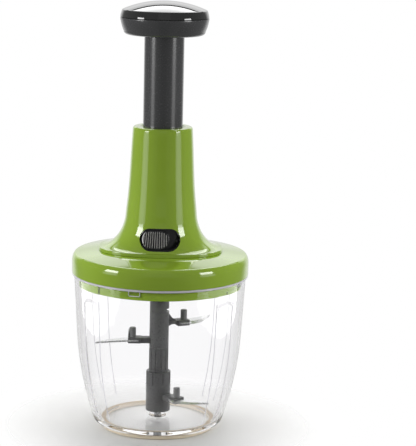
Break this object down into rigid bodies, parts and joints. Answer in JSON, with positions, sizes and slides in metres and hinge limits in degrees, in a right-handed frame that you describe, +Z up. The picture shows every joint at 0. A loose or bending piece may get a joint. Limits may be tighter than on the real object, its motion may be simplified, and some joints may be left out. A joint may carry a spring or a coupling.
{
  "type": "manual food chopper",
  "caption": "Hand press food chopper: clear bowl, twist-on lid with a tower and sprung press knob that spins a stack of curved blades through a twisted bar and one-way clutch.",
  "frame": {"origin": "on the bowl's axis at the table, under the soft foot ring", "axes": "+Z up along the axis from the bowl to the knob, -Y out of the front where the thumb slider is, +X to the right seen from the front"},
  "size_m": [0.1286, 0.1286, 0.3114],
  "materials": {
    "clear": "polished clear",
    "foot": "soft satin",
    "green": "high gloss",
    "dark": "satin gloss",
    "black": "gloss",
    "holder": "satin",
    "pale": "satin",
    "blade": "ground and polished",
    "steel": "bright"
  },
  "bodies": {
    "bowl": {"bowl": "clear", "foot_ring": "foot", "pivot_pin": "steel"},
    "lid": {"lid": "green", "under_plate": "green", "plate_screws": "steel", "housing": "green", "housing_screws": "steel", "bearing_plate": "dark", "screw_bearing": "pale", "thrust_washer": "steel", "lock_bezel": "black", "return_spring": "steel"},
    "plunger": {"plunger_tube": "dark", "drive_nut": "pale", "knob_base": "dark", "knob_cap": "dark", "knob_screw": "steel"},
    "drive": {"drive_screw": "steel", "spring_seat": "pale", "retaining_clip": "steel", "pawl_driver": "pale"},
    "blades": {"ratchet_coupling": "holder", "blade_spindle": "holder", "twin_hub": "holder", "fluted_spacer": "holder", "lower_hub": "holder", "upper_blade": "blade", "middle_blade": "blade", "lower_blade": "blade", "blade_pins": "holder", "pivot_bush": "pale"},
    "lock": {"lock_slider": "black", "lock_tongue": "black"}
  },
  "joints": [
    {"name": "lid_twist", "type": "hinge", "parent": "bowl", "child": "lid", "pos_m": [0, 0, 0.1144], "axis": [0, 0, 1], "range_deg": [0, 24]},
    {"name": "press", "type": "slide", "parent": "lid", "child": "plunger", "axis": [0, 0, -1], "range_m": [0, 0.0625], "stiffness_N_per_m": 200, "springref_m": -0.03, "deforming": ["return_spring"]},
    {"name": "drive_spin", "type": "hinge", "parent": "lid", "child": "drive", "pos_m": [0, 0, 0.12], "axis": [0, 0, 1], "range_deg": [-540, 0]},
    {"name": "blade_spin", "type": "hinge", "parent": "lid", "child": "blades", "pos_m": [0, 0, 0.1], "axis": [0, 0, 1], "range_deg": [-540, 0]},
    {"name": "lock_turn", "type": "hinge", "parent": "lid", "child": "lock", "pos_m": [0, 0, 0.1434], "axis": [0, 0, 1], "range_deg": [0, 14]}
  ],
  "couplings": [
    {"joint": "drive_spin", "follows": "press", "rad_per_m": -149.6},
    {"joint": "blade_spin", "follows": "press", "rad_per_m": -149.6}
  ]
}
